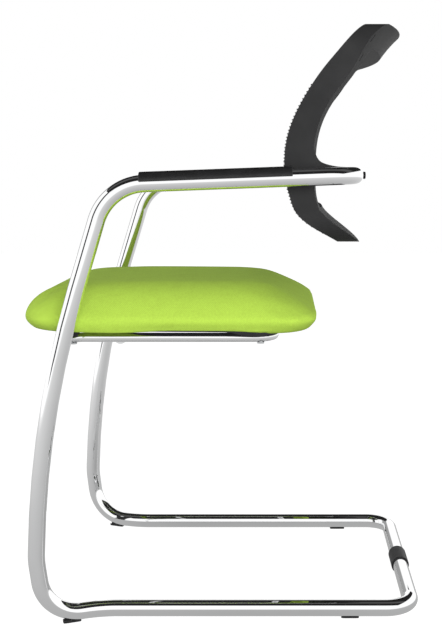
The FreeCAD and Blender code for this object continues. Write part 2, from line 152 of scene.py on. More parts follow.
def makeWorld():
    world = bpy.data.worlds.new("studioRoom")
    bpy.context.scene.world = world
    world.use_nodes = True
    tree = world.node_tree
    tree.nodes.clear()
    coords = addNode(tree, "TexCoord")
    parts = addNode(tree, "SeparateXYZ")
    join(tree, coords.outputs["Generated"], parts.inputs[0])
    place = centred(tree, parts.outputs["Z"], 0.5)
    sky = rampNode(tree, place, [(height, grey(studio[light])) for height, light in skyStops])
    # the far side of the room is dimmer than the near side
    side = addNode(tree, "MapRange", {"From Min": -0.9, "From Max": 0.3, "To Min": studio["farLight"]})
    join(tree, parts.outputs["X"], side.inputs["Value"])
    dimmed = addNode(tree, "VectorMath", operation="SCALE")
    join(tree, sky, dimmed.inputs[0])
    join(tree, side.outputs[0], dimmed.inputs["Scale"])
    # towards the front the mirrored wall has a dark gap between two panels, and further round a grey curtain
    forward = mathNode(tree, "MULTIPLY", parts.outputs["Y"], -1.0)
    bearing = mathNode(tree, "ARCTAN2", forward, parts.outputs["X"])
    turn = mathNode(tree, "DIVIDE", bearing, math.pi)
    turn.node.use_clamp = True
    wall, gap, curtain = grey(studio["wallMirror"]), grey(studio["gapShade"]), grey(studio["curtainShade"])
    gapFrom, gapTo = studio["gapAt"] - studio["gapWide"] / 2, studio["gapAt"] + studio["gapWide"] / 2
    curtainFrom, curtainTo = studio["curtainFrom"], studio["curtainTo"]
    stops = [(gapFrom - studio["gapEdge"], wall), (gapFrom, gap),
             (gapTo, gap), (gapTo + studio["gapEdge"], wall),
             (curtainFrom, wall), (curtainFrom + studio["curtainFadeIn"], curtain),
             (curtainTo, curtain), (curtainTo + studio["curtainFadeOut"], wall)]
    mirrored = rampNode(tree, turn, [(degrees / 180, shade) for degrees, shade in stops], smooth=False)
    rays = addNode(tree, "LightPath")
    light = addNode(tree, "Background", {"Strength": 1.0})
    seen = addNode(tree, "Background", {"Color": (1, 1, 1, 1), "Strength": 1.0})
    mirror = addNode(tree, "Background", {"Strength": 1.0})
    join(tree, dimmed.outputs[0], light.inputs["Color"])
    join(tree, mirrored, mirror.inputs["Color"])
    glossy = addNode(tree, "MixShader")
    join(tree, rays.outputs["Is Glossy Ray"], glossy.inputs[0])
    join(tree, light.outputs[0], glossy.inputs[1])
    join(tree, mirror.outputs[0], glossy.inputs[2])
    final = addNode(tree, "MixShader")
    direct = mathNode(tree, "MAXIMUM", rays.outputs["Is Camera Ray"], rays.outputs["Is Transmission Ray"])
    join(tree, direct, final.inputs[0])
    join(tree, glossy.outputs[0], final.inputs[1])
    join(tree, seen.outputs[0], final.inputs[2])
    out = addNode(tree, "OutputWorld")
    join(tree, final.outputs[0], out.inputs[0])


def makeFloor():
    mesh = bpy.data.meshes.new("studioFloor")
    reach = studio["floorReach"]
    corners = [(-reach, -reach, 0), (reach, -reach, 0), (reach, reach, 0), (-reach, reach, 0)]
    mesh.from_pydata(corners, [], [(0, 1, 2, 3)])
    floor = bpy.data.objects.new("studioFloor", mesh)
    bpy.context.scene.collection.objects.link(floor)
    material = bpy.data.materials.new("floorPaper")
    material.use_nodes = True
    tree = material.node_tree
    shader = tree.nodes["Principled BSDF"]
    coords = addNode(tree, "TexCoord")
    grain = addNode(tree, "TexNoise", {"Scale": 300.0, "Detail": 3.0})
    join(tree, coords.outputs["Object"], grain.inputs["Vector"])
    shade = studio["floorShade"]
    paper = rampNode(tree, grain.outputs["Fac"], [(0.3, grey(shade - 0.01)), (0.7, grey(shade))])
    join(tree, paper, shader.inputs["Base Color"])
    shader.inputs["Roughness"].default_value = 0.8
    shader.inputs["Specular IOR Level"].default_value = 0.1
    # the camera sees the paper lifted to white, so that only the shadow is left on it, and chrome sees the
    # floor as glowing rings of painted shade that fade from a soft grey under the chair to the white of the
    # walls
    rays = addNode(tree, "LightPath")
    away = addNode(tree, "VectorMath", operation="LENGTH")
    join(tree, coords.outputs["Object"], away.inputs[0])
    ring = mathNode(tree, "DIVIDE", away.outputs["Value"], reach)
    stops = [(distance / reach, grey(level)) for distance, level in floorShadeRings]
    rings = rampNode(tree, ring, stops, smooth=False)
    # the glow that chrome sees on the floor is painted shade, darkest under the chair
    mirror = addNode(tree, "Emission", {"Strength": 1.0})
    join(tree, rings, mirror.inputs["Color"])
    lift = addNode(tree, "Emission", {"Color": (1, 1, 1, 1)})
    join(tree, mathNode(tree, "MULTIPLY", rays.outputs["Is Camera Ray"], studio["floorLift"]),
         lift.inputs["Strength"])
    seen = addNode(tree, "AddShader")
    join(tree, shader.outputs[0], seen.inputs[0])
    join(tree, lift.outputs[0], seen.inputs[1])
    mix = addNode(tree, "MixShader")
    join(tree, rays.outputs["Is Glossy Ray"], mix.inputs[0])
    join(tree, seen.outputs[0], mix.inputs[1])
    join(tree, mirror.outputs[0], mix.inputs[2])
    join(tree, mix.outputs[0], tree.nodes["Material Output"].inputs[0])
    mesh.materials.append(material)


def makeCeilingBoard():
    # a dark board overhead that only shows in the chrome
    left, right, front, rear = studio["boardBox"]
    height = studio["boardHeight"]
    mesh = bpy.data.meshes.new("ceilingBoard")
    corners = [(left, front, height), (left, rear, height), (right, rear, height), (right, front, height)]
    mesh.from_pydata(corners, [], [(0, 1, 2, 3)])
    board = bpy.data.objects.new("ceilingBoard", mesh)
    bpy.context.scene.collection.objects.link(board)
    material = bpy.data.materials.new("boardFelt")
    material.use_nodes = True
    tree = material.node_tree
    tree.nodes.clear()
    coords = addNode(tree, "TexCoord")
    parts = addNode(tree, "SeparateXYZ")
    join(tree, coords.outputs["Object"], parts.inputs[0])
    across = centred(tree, parts.outputs["X"], 0.25)
    felt, stripe = grey(studio["boardShade"]), grey(studio["boardStripe"])
    shade = rampNode(tree, across, [(0.36, felt), (0.46, stripe), (0.58, stripe), (0.66, felt)])
    glow = addNode(tree, "Emission", {"Strength": 1.0})
    join(tree, shade, glow.inputs["Color"])
    out = addNode(tree, "OutputMaterial")
    join(tree, glow.outputs[0], out.inputs[0])
    mesh.materials.append(material)
    board.visible_camera = False
    board.visible_diffuse = False
    board.visible_shadow = False
    board.visible_transmission = False


# places and aims in metres, power in watts
lamps = {
    "side": {"place": (2.3, 0.45, 0.75), "aim": (0, 0, 0.42), "size": 1.5, "power": 34},
    "front": {"place": (0.2, -2.4, 1.2), "aim": (0, 0, 0.45), "size": 1.6, "power": 10},
    "far": {"place": (-2.2, 1.4, 1.4), "aim": (0, 0, 0.5), "size": 1.4, "power": 3},
}


def makeLamps():
    for name, lamp in lamps.items():
        data = bpy.data.lights.new(name + "Lamp", "AREA")
        data.shape = "SQUARE"
        data.size = lamp["size"]
        data.energy = lamp["power"]
        holder = bpy.data.objects.new(name + "Lamp", data)
        bpy.context.scene.collection.objects.link(holder)
        holder.location = lamp["place"]
        aim = Vector(lamp["aim"]) - Vector(lamp["place"])
        holder.rotation_euler = aim.to_track_quat("-Z", "Y").to_euler()
        holder.visible_glossy = False


makeWorld()
makeFloor()
makeCeilingBoard()
makeLamps()
print("studio ready")


# finishes
def newFinish(name):
    material = bpy.data.materials.new(name)
    material.use_nodes = True
    tree = material.node_tree
    coords = addNode(tree, "TexCoord")
    return material, tree, tree.nodes["Principled BSDF"], coords.outputs["Object"]


def noiseAt(tree, coords, scale, detail=3.0, rough=0.5):
    noise = addNode(tree, "TexNoise", {"Scale": scale, "Detail": detail, "Roughness": rough})
    join(tree, coords, noise.inputs["Vector"])
    return noise.outputs["Fac"]


def addBump(tree, shader, height, strength, depth):
    bump = addNode(tree, "Bump", {"Strength": strength, "Distance": depth})
    join(tree, height, bump.inputs["Height"])
    join(tree, bump.outputs["Normal"], shader.inputs["Normal"])


def spread(tree, value, low, high):
    # stretches the middle half of a 0 to 1 value over low to high
    node = addNode(tree, "MapRange", {"From Min": 0.25, "From Max": 0.75, "To Min": low, "To Max": high})
    join(tree, value, node.inputs["Value"])
    return node.outputs[0]


def metalFinish(name, look):
    material, tree, shader, coords = newFinish(name)
    shader.inputs["Metallic"].default_value = 1.0
    cloud = noiseAt(tree, coords, look["cloudScale"])
    tint = rampNode(tree, cloud, [(0.3, look["dark"]), (0.7, look["light"])])
    join(tree, tint, shader.inputs["Base Color"])
    fine = noiseAt(tree, coords, look["grainScale"], 5.0, 0.6)
    join(tree, spread(tree, fine, look["smooth"], look["dull"]), shader.inputs["Roughness"])
    addBump(tree, shader, fine, look["bump"], 0.0002)
    return material


def plasticFinish(name, look):
    material, tree, shader, coords = newFinish(name)
    cloud = noiseAt(tree, coords, look["cloudScale"], 2.0)
    tint = rampNode(tree, cloud, [(0.3, look["dark"]), (0.7, look["light"])])
    join(tree, tint, shader.inputs["Base Color"])
    spark = noiseAt(tree, coords, look["grainScale"], 4.0, 0.7)
    join(tree, spread(tree, spark, look["smooth"], look["dull"]), shader.inputs["Roughness"])
    shader.inputs["Specular IOR Level"].default_value = look["shine"]
    addBump(tree, shader, spark, look["bump"], 0.0003)
    return material


# dark and light are the two ends of the colour's cloud, smooth and dull the two ends of its roughness
chromeLook = {"dark": (0.88, 0.885, 0.89), "light": (0.93, 0.933, 0.937), "cloudScale": 6.0,
              "grainScale": 900.0, "smooth": 0.015, "dull": 0.035, "bump": 0.002}
railLook = dict(chromeLook, dull=0.09, bump=0.02)
oxideLook = {"dark": (0.012, 0.012, 0.013), "light": (0.03, 0.03, 0.032), "cloudScale": 70.0,
             "grainScale": 2400.0, "smooth": 0.35, "dull": 0.5, "bump": 0.1}
zincLook = {"dark": (0.5, 0.51, 0.52), "light": (0.66, 0.67, 0.68), "cloudScale": 60.0,
            "grainScale": 2400.0, "smooth": 0.25, "dull": 0.4, "bump": 0.1}
brassLook = {"dark": (0.6, 0.44, 0.2), "light": (0.74, 0.57, 0.28), "cloudScale": 50.0,
             "grainScale": 2000.0, "smooth": 0.25, "dull": 0.4, "bump": 0.1}
padLook = {"dark": (0.011, 0.011, 0.011), "light": (0.02, 0.02, 0.021), "cloudScale": 25.0,
           "grainScale": 1800.0, "smooth": 0.36, "dull": 0.5, "bump": 0.12, "shine": 0.45}
blackLook = {"dark": (0.008, 0.008, 0.009), "light": (0.018, 0.018, 0.019), "cloudScale": 30.0,
             "grainScale": 2200.0, "smooth": 0.42, "dull": 0.6, "bump": 0.2, "shine": 0.4}
charcoalLook = {"dark": (0.026, 0.026, 0.0265), "light": (0.034, 0.034, 0.0345), "cloudScale": 18.0,
                "grainScale": 2600.0, "smooth": 0.5, "dull": 0.66, "bump": 0.25, "shine": 0.1}
foamLook = {"dark": (0.66, 0.6, 0.42), "light": (0.78, 0.72, 0.52), "cloudScale": 40.0,
            "grainScale": 1200.0, "smooth": 0.85, "dull": 1.0, "bump": 0.5, "shine": 0.2}

chrome = metalFinish("chromePlate", chromeLook)
railChrome = metalFinish("railChrome", railLook)
zinc = metalFinish("zincPlate", zincLook)
oxide = metalFinish("blackOxide", oxideLook)
brass = metalFinish("turnedBrass", brassLook)
padBlack = plasticFinish("armPadBlack", padLook)
black = plasticFinish("mouldedBlack", blackLook)
charcoal = plasticFinish("sparkCharcoal", charcoalLook)
foam = plasticFinish("seatFoam", foamLook)


def plyFinish():
    material, tree, shader, coords = newFinish("birchPly")
    layers = addNode(tree, "TexWave", {"Scale": 200.0, "Distortion": 1.2, "Detail": 2.0, "Detail Scale": 1.4},
                     bands_direction="Z")
    join(tree, coords, layers.inputs["Vector"])
    tint = rampNode(tree, layers.outputs["Fac"], [(0.2, (0.42, 0.29, 0.16)), (0.8, (0.62, 0.47, 0.29))])
    join(tree, tint, shader.inputs["Base Color"])
    shader.inputs["Roughness"].default_value = 0.7
    addBump(tree, shader, noiseAt(tree, coords, 500.0), 0.2, 0.0003)
    return material


ply = plyFinish()

clothLook = {
    "thread": 0.0014,
    # shade is the dark end of the cloth's colour, reached both by the yarn's flecks and by the painted shade
    # in the weave's hollows
    "shade": (0.40, 0.60, 0.070),
    "light": (0.53, 0.78, 0.098),
    "fleckScale": 420.0,
    "slubScale": 60.0,
    "fleckShare": 0.8,
    "creviceShadeShare": 0.25,
    "relief": 0.35,
    "depth": 0.00035,
    "sheen": 0.05,
}


def blend(tree, first, second, share):
    return mathNode(tree, "ADD", mathNode(tree, "MULTIPLY", first, share),
                    mathNode(tree, "MULTIPLY", second, 1 - share))


def clothFinish():
    # a plain weave: two sets of threads on whichever plane the surface faces
    material, tree, shader, coords = newFinish("limeWeave")
    place = addNode(tree, "SeparateXYZ")
    join(tree, coords, place.inputs[0])
    facing = addNode(tree, "SeparateXYZ")
    geometry = addNode(tree, "NewGeometry")
    join(tree, geometry.outputs["Normal"], facing.inputs[0])
    turns = math.pi / clothLook["thread"]
    waves = [mathNode(tree, "SINE", mathNode(tree, "MULTIPLY", place.outputs[i], turns)) for i in range(3)]
    total = None
    for i in range(3):
        cross = mathNode(tree, "MULTIPLY", waves[(i + 1) % 3], waves[(i + 2) % 3])
        share = mathNode(tree, "POWER", mathNode(tree, "ABSOLUTE", facing.outputs[i]), 2.0)
        part = mathNode(tree, "MULTIPLY", cross, share)
        total = part if total is None else mathNode(tree, "ADD", total, part)
    weave = centred(tree, total, 0.5)
    fleck = noiseAt(tree, coords, clothLook["fleckScale"], 4.0, 0.75)
    slub = noiseAt(tree, coords, clothLook["slubScale"])
    mottle = blend(tree, fleck, slub, clothLook["fleckShare"])
    # the hollows of the weave are painted darker, a painted shade between the threads, laid over the yarn's
    # own flecks and slubs
    weaveShadeAndMottle = blend(tree, weave, mottle, clothLook["creviceShadeShare"])
    tint = rampNode(tree, weaveShadeAndMottle, [(0.3, clothLook["shade"]), (0.62, clothLook["light"])], smooth=False)
    join(tree, tint, shader.inputs["Base Color"])
    shader.inputs["Roughness"].default_value = 0.9
    shader.inputs["Specular IOR Level"].default_value = 0.05
    shader.inputs["Sheen Weight"].default_value = clothLook["sheen"]
    shader.inputs["Sheen Roughness"].default_value = 0.5
    shader.inputs["Sheen Tint"].default_value = (0.8, 1.0, 0.5, 1)
    height = mathNode(tree, "ADD", weave, mathNode(tree, "MULTIPLY", fleck, clothLook["fleckShare"]))
    addBump(tree, shader, height, clothLook["relief"], clothLook["depth"])
    return material


cloth = clothFinish()

knitLook = {"dark": (0.022, 0.022, 0.023), "light": (0.05, 0.05, 0.052), "filament": 0.00035}


def knitFinish():
    material, tree, shader, coords = newFinish("charcoalYarn")
    twist = addNode(tree, "TexWave", {"Scale": 0.314 / knitLook["filament"], "Distortion": 2.0},
                    bands_direction="DIAGONAL")
    join(tree, coords, twist.inputs["Vector"])
    tint = rampNode(tree, twist.outputs["Fac"], [(0.2, knitLook["dark"]), (0.8, knitLook["light"])])
    join(tree, tint, shader.inputs["Base Color"])
    shader.inputs["Roughness"].default_value = 0.75
    shader.inputs["Sheen Weight"].default_value = 0.2
    addBump(tree, shader, twist.outputs["Fac"], 0.3, 0.0002)
    return material


yarn = knitFinish()

# the finish of every node by the start of its name, the longer names first
finishOf = {
    "frame_tube": chrome, "seat_rail": railChrome, "seat_cross_rod": railChrome, "base_spigot": zinc,
    "back_tube_spigot": zinc, "base_sleeve": black, "glide_screws": zinc, "glide": black, "seat_screws": zinc,
    "seat_tee_nuts": zinc, "seat_foam": foam, "seat_board": ply, "seat_pan": black, "saddle": black,
    "arm_pad_screws": zinc, "arm_pad": padBlack, "back_frame": charcoal, "mesh_carrier": charcoal,
    "back_bolts": oxide, "back_inserts": brass, "back_mesh": yarn, "seat_cover": cloth,
}
for name, node in nodes.items():
    finish = next(look for start, look in finishOf.items() if name.startswith(start))
    for slot in node.material_slots:
        slot.material = finish
print("finishes on", len(nodes), "nodes")


# placing a piece
def dressPiece(piece, finish):
    piece.data.materials.clear()
    piece.data.materials.append(finish)
    for polygon in piece.data.polygons:
        polygon.use_smooth = True
    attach(piece, "root")


def placePiece(name, mesh, finish):
    piece = bpy.data.objects.new(name, mesh)
    bpy.context.scene.collection.objects.link(piece)
    dressPiece(piece, finish)
    return piece


def meshPiece(name, solid, finish):
    mesh = bpy.data.meshes.new(name)
    solid.to_mesh(mesh)
    solid.free()
    return placePiece(name, mesh, finish)


def applyModifiers(piece):
    bpy.context.view_layer.update()
    depsgraph = bpy.context.evaluated_depsgraph_get()
    mesh = bpy.data.meshes.new_from_object(piece.evaluated_get(depsgraph))
    piece.modifiers.clear()
    piece.data = mesh


# rings of corners along a line, and the walls and caps that close them
def alongAt(points, index):
    before = points[max(index - 1, 0)]
    after = points[min(index + 1, len(points) - 1)]
    return (after - before).normalized()


def roundRing(solid, centre, aside, up, radius, sides):
    ring = []
    for number in range(sides):
        angle = 2 * math.pi * number / sides
        ring.append(solid.verts.new(centre + (aside * math.cos(angle) + up * math.sin(angle)) * radius))
    return ring


def closeRings(solid, rings):
    for first, second in zip(rings, rings[1:]):
        for number in range(len(first)):
            following = (number + 1) % len(first)
            solid.faces.new((first[number], first[following], second[following], second[number]))
    return solid.faces.new(rings[0][::-1]), solid.faces.new(rings[-1])


# bent tubes
# the frame's own centre line: how far out its arm, foot and runner lie, then the depth and height of its
# corners from behind the back to the rear of the floor run, and the radius of each bend between the ends
tube = {
    "radius": 0.0125,
    "armOut": 0.2445,
    "footOut": 0.2414,
    "runnerOut": 0.210,
    "backEnd": (0.1942, 0.6685),
    "armFront": (-0.1593, 0.6554),
    "knee": (-0.2672, 0.3157),
    "shin": (-0.2762, 0.1024),
    "footFront": -0.2662,
    "splayEnd": -0.1883,
    "floorRear": 0.2872,
    "floorRun": 0.015,
    "radii": (0.042, 0.075, 1.5, 0.12, 0.062, 0.138, 0.042),
    "sides": 40,
    "stepDegrees": 2.5,
    "fewestSteps": 6,
}
rail = {"radius": 0.007, "out": 0.182, "height": 0.4278, "rear": 0.0762, "sides": 28,
        "radii": (0.020, 0.032, 0.032, 0.020)}


def tubeCorners(side):
    arm, foot, runner, low = tube["armOut"], tube["footOut"], tube["runnerOut"], tube["floorRun"]
    corners = [(0, *tube["backEnd"]), (arm, *tube["backEnd"]), (arm, *tube["armFront"]), (arm, *tube["knee"]),
               (arm, *tube["shin"]), (foot, tube["footFront"], low), (runner, tube["splayEnd"], low),
               (runner, tube["floorRear"], low), (0, tube["floorRear"], low)]
    return [Vector((side * x, y, z)) for x, y, z in corners]


def bentLine(corners, radii):
    # straight runs with a round bend at each inner corner
    points = [corners[0]]
    for index, radius in enumerate(radii):
        corner = corners[index + 1]
        back = (corners[index] - corner).normalized()
        ahead = (corners[index + 2] - corner).normalized()
        turn = math.pi - back.angle(ahead)
        start = corner + back * radius * math.tan(turn / 2)
        centre = corner + (back + ahead).normalized() * (radius / math.cos(turn / 2))
        axis = (corner - corners[index]).cross(ahead).normalized()
        steps = max(tube["fewestSteps"], math.ceil(math.degrees(turn) / tube["stepDegrees"]))
        for step in range(steps + 1):
            angle = Matrix.Rotation(turn * step / steps, 3, axis)
            points.append(centre + angle @ (start - centre))
    return points + [corners[-1]]


def sweep(name, points, look, finish):
    solid = bmesh.new()
    rings = []
    aside = alongAt(points, 0).orthogonal().normalized()
    for index, centre in enumerate(points):
        along = alongAt(points, index)
        aside = (aside - along * aside.dot(along)).normalized()
        rings.append(roundRing(solid, centre, aside, along.cross(aside), look["radius"], look["sides"]))
    # the rims of the two ends stay sharp, or the long straight runs would shade as if they were bent
    for end in closeRings(solid, rings):
        for edge in end.edges:
            edge.smooth = False
    return meshPiece(name, solid, finish)


def makeTubes():
    for sideName, side in (("Left", 1), ("Right", -1)):
        line = bentLine(tubeCorners(side), tube["radii"])
        piece = sweep("frameTube" + sideName, line, tube, chrome)
        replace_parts(piece, "frame_tube_" + sideName.lower())
    low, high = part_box("seat_rail")
    front, ends = low.y + rail["radius"], high.x
    out, height, rear = rail["out"], rail["height"], rail["rear"]
    places = ((ends, front), (out, front), (out, rear), (-out, rear), (-out, front), (-ends, front))
    line = bentLine([Vector((x, y, height)) for x, y in places], rail["radii"])
    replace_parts(sweep("seatRail", line, rail, railChrome), "seat_rail")


makeTubes()
print("tubes swept")


# seat cushion
cushion = {
    # the blank, and the pillow that the simulation makes of it
    "voxel": 0.0045, "smoothRounds": 6, "pressure": 4.0, "frames": 20, "mass": 0.3, "quality": 5,
    "startIn": 0.0005, "swellLimit": 0.003, "baseBand": 0.006,
    # cloth, foam and board
    "skin": 0.0012, "reach": 0.006, "coverThick": 0.0025, "boardThick": 0.012, "foamLift": 0.0002,
    # softened shoulders and lower rim: how much, and between which places
    "softenPull": 0.6, "shoulderRounds": 26, "shoulderOut": (0.10, 0.15), "shoulderFront": (-0.26, -0.19),
    "shoulderRear": (0.03, 0.10), "rearSoft": 0.8, "rearSoftAt": (0.05, 0.11), "shoulderBand": 0.01,
    "rimRounds": 8, "rimBand": (0.446, 0.458),
    # fuller ends: each with its middle and half its length
    "bulgeAt": 0.462, "fullBelow": 0.014, "fullAbove": 0.004,
    "rearFull": 0.001, "rearAt": (0.125, 0.1), "frontFull": 0.002, "frontAt": (-0.245, 0.08),
    "rearPush": 0.0145, "rearPushAt": (0.466, 0.034), "rearZone": (0.04, 0.11),
    "frontPush": 0.0022, "frontPushAt": (0.455, 0.03), "frontZone": (-0.26, -0.2),
    # the rim that tucks in below the bulge, and the rise and fall of its lower side edge
    "tuck": 0.015, "tuckPower": 1.6, "tuckInFront": 0.4, "tuckZone": (-0.25, -0.1), "rearTuck": 0.004,
    "sideFrom": -0.003, "sideTo": 0.008, "arch": 0.004, "archRise": (-0.15, -0.08), "archFall": (0.0, 0.1),
    "droop": 0.004, "droopAt": (-0.17, 0.09),
}


def easeBetween(value, low, high):
    share = min(max((value - low) / (high - low), 0), 1)
    return share * share * (3 - 2 * share)


def hump(value, centre, half):
    return 1 - easeBetween(abs(value - centre), 0, half)


def within(value, rise, fall):
    return easeBetween(value, *rise) * (1 - easeBetween(value, *fall))


def cushionBlank():
    # one closed body from the cover, foam and board of the frame
    solid = bmesh.new()
    for name in ("seat_cover", "seat_foam", "seat_board"):
        solid.from_mesh(nodes[name].data)
    mesh = bpy.data.meshes.new("seatCushion")
    solid.to_mesh(mesh)
    solid.free()
    piece = bpy.data.objects.new("seatCushion", mesh)
    bpy.context.scene.collection.objects.link(piece)
    remesh = piece.modifiers.new("voxels", "REMESH")
    remesh.mode = "VOXEL"
    remesh.voxel_size = cushion["voxel"]
    smooth = piece.modifiers.new("soften", "SMOOTH")
    smooth.factor = 0.5
    smooth.iterations = cushion["smoothRounds"]
    applyModifiers(piece)
    return piece


def inflate(piece):
    mesh = piece.data
    baseTop = min(v.co.z for v in mesh.vertices) + cushion["baseBand"]
    held = piece.vertex_groups.new(name="held")
    normals = [v.normal.copy() for v in mesh.vertices]
    start = [v.co.copy() for v in mesh.vertices]
    for vertex, normal in zip(mesh.vertices, normals):
        if vertex.co.z < baseTop:
            held.add([vertex.index], 1.0, "REPLACE")
        else:
            vertex.co -= normal * cushion["startIn"]
    pillow = piece.modifiers.new("pillow", "CLOTH")
    pillow.collision_settings.use_collision = False
    settings = pillow.settings
    settings.use_pressure = True
    settings.uniform_pressure_force = cushion["pressure"]
    settings.effector_weights.gravity = 0
    settings.vertex_group_mass = "held"
    settings.quality = cushion["quality"]
    settings.mass = cushion["mass"]
    scene = bpy.context.scene
    for number in range(1, cushion["frames"] + 1):
        scene.frame_set(number)
    applyModifiers(piece)
    scene.frame_set(1)
    limit = cushion["swellLimit"]
    for vertex, before in zip(piece.data.vertices, start):
        move = vertex.co - before
        if move.length > limit:
            vertex.co = before + move * (limit / move.length)


def shoulderShare(place):
    # the long edges of the top, where a sitter's legs pass, and the rear edge
    side = easeBetween(abs(place.x), *cushion["shoulderOut"])
    side *= within(place.y, cushion["shoulderFront"], cushion["shoulderRear"])
    rear = cushion["rearSoft"] * easeBetween(place.y, *cushion["rearSoftAt"])
    bulgeAt = cushion["bulgeAt"]
    return max(side, rear) * easeBetween(place.z, bulgeAt, bulgeAt + cushion["shoulderBand"])


def rimShare(place):
    return 1 - easeBetween(place.z, *cushion["rimBand"])


def soften(piece, shareOf, rounds):
    work = bmesh.new()
    work.from_mesh(piece.data)
    chosen = []
    for vertex in work.verts:
        share = shareOf(vertex.co)
        if share > 0:
            chosen.append((vertex, share, [edge.other_vert(vertex) for edge in vertex.link_edges]))
    for turn in range(rounds):
        moved = []
        for vertex, share, others in chosen:
            middle = sum((other.co for other in others), Vector()) / len(others)
            moved.append(vertex.co.lerp(middle, cushion["softenPull"] * share))
        for (vertex, share, others), place in zip(chosen, moved):
            vertex.co = place
    work.to_mesh(piece.data)
    work.free()


def shapeCushion(piece):
    # the upholsterer's hand: full ends, a rim that tucks in below the bulge and an arched lower side edge
    low = min(v.co.z for v in piece.data.vertices)
    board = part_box("seat_board")[1].x
    bulgeAt, leastTuck = cushion["bulgeAt"], cushion["tuckInFront"]
    fullBand = (bulgeAt - cushion["fullBelow"], bulgeAt + cushion["fullAbove"])
    normals = [v.normal.copy() for v in piece.data.vertices]
    for vertex, normal in zip(piece.data.vertices, normals):
        y, z = vertex.co.y, vertex.co.z
        full = cushion["rearFull"] * hump(y, *cushion["rearAt"])
        full += cushion["frontFull"] * hump(y, *cushion["frontAt"])
        vertex.co += normal * full * easeBetween(z, *fullBand)
        flat = Vector((normal.x, normal.y, 0))
        rear, front = easeBetween(y, *cushion["rearZone"]), 1 - easeBetween(y, *cushion["frontZone"])
        vertex.co += flat * cushion["rearPush"] * rear * hump(z, *cushion["rearPushAt"])
        vertex.co += flat * cushion["frontPush"] * front * hump(z, *cushion["frontPushAt"])
        side = easeBetween(abs(vertex.co.x), board + cushion["sideFrom"], board + cushion["sideTo"])
        down = max(bulgeAt - z, 0) / (bulgeAt - low)
        tuckShare = leastTuck + (1 - leastTuck) * easeBetween(y, *cushion["tuckZone"])
        tuck = cushion["tuck"] * tuckShare + cushion["rearTuck"] * rear
        vertex.co -= flat * tuck * down ** cushion["tuckPower"]
        arch = within(y, cushion["archRise"], cushion["archFall"]) * cushion["arch"]
        droop = hump(y, *cushion["droopAt"]) * cushion["droop"]
        vertex.co.z += (arch - droop) * side * down ** 2


def keepOutside(piece, inner, skin):
    # lifts the cloth to at least the thickness of the skin off what it wraps
    mesh = nodes[inner].data
    core = BVHTree.FromPolygons([v.co for v in mesh.vertices], [p.vertices for p in mesh.polygons])
    for vertex in piece.data.vertices:
        place, normal, index, distance = core.find_nearest(vertex.co, cushion["reach"])
        if place is not None and (vertex.co - place).dot(normal) < skin:
            vertex.co = place + normal * skin


def makeFoam(cover):
    # the moulded foam is the cushion less its cloth, cut off at the top of the board
    low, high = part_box("seat_board")
    slope = (high.z - low.z - cushion["boardThick"]) / (high.y - low.y)
    mesh = cover.data.copy()
    mesh.name = "seatFoam"
    normals = [v.normal.copy() for v in mesh.vertices]
    for vertex, normal in zip(mesh.vertices, normals):
        vertex.co -= normal * cushion["coverThick"]
        top = low.z + cushion["boardThick"] + (high.y - vertex.co.y) * slope + cushion["foamLift"]
        vertex.co.z = max(vertex.co.z, top)
    piece = placePiece("seatFoam", mesh, foam)
    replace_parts(piece, "seat_foam")


def makeCushion():
    piece = cushionBlank()
    inflate(piece)
    soften(piece, shoulderShare, cushion["shoulderRounds"])
    shapeCushion(piece)
    soften(piece, rimShare, cushion["rimRounds"])
    keepOutside(piece, "seat_board", cushion["skin"])
    makeFoam(piece)
    subdivision = piece.modifiers.new("fine", "SUBSURF")
    subdivision.levels = 1
    subdivision.render_levels = 1
    dressPiece(piece, cloth)
    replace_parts(piece, "seat_cover")


makeCushion()
print("cushion made")


# black mouldings: pan, saddles and glides
def roundedEnd(step, look):
    # a place from -1 to 1 along a piece with rounded ends, and the share of its full width that it has there
    along = -math.cos(math.pi * step / look["steps"]) * look["endStop"]
    return along, (1 - abs(along) ** look["endPower"]) ** (1 / look["endPower"])


def mould(name, rings, bevel, node):
    # a closed body through rings of points, with its edges rounded
    solid = bmesh.new()
    closeRings(solid, [[solid.verts.new(point) for point in ring] for ring in rings])
    bmesh.ops.recalc_face_normals(solid, faces=solid.faces)
    piece = meshPiece(name, solid, black)
    rounding = piece.modifiers.new("edges", "BEVEL")
    rounding.width = bevel
    rounding.segments = 2
    rounding.limit_method = "ANGLE"
    rounding.angle_limit = math.radians(40)
    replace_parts(piece, node)


pan = {
    "thick": 0.0025, "rim": 0.0035, "rimHigh": 0.016, "rimLift": 0.0023, "wallShare": 0.6, "frontWall": 0.985,
    "frontHalf": 0.165, "flatHalf": 0.1905, "flatMost": 0.93, "wideFrom": -0.17, "wideTo": -0.10,
    "drop": 0.0051, "dropIn": (0.0, 0.05), "dropOut": (0.05, 0.1),
    "endPower": 9, "endStop": 0.9985, "steps": 48, "edge": 0.0006,
}


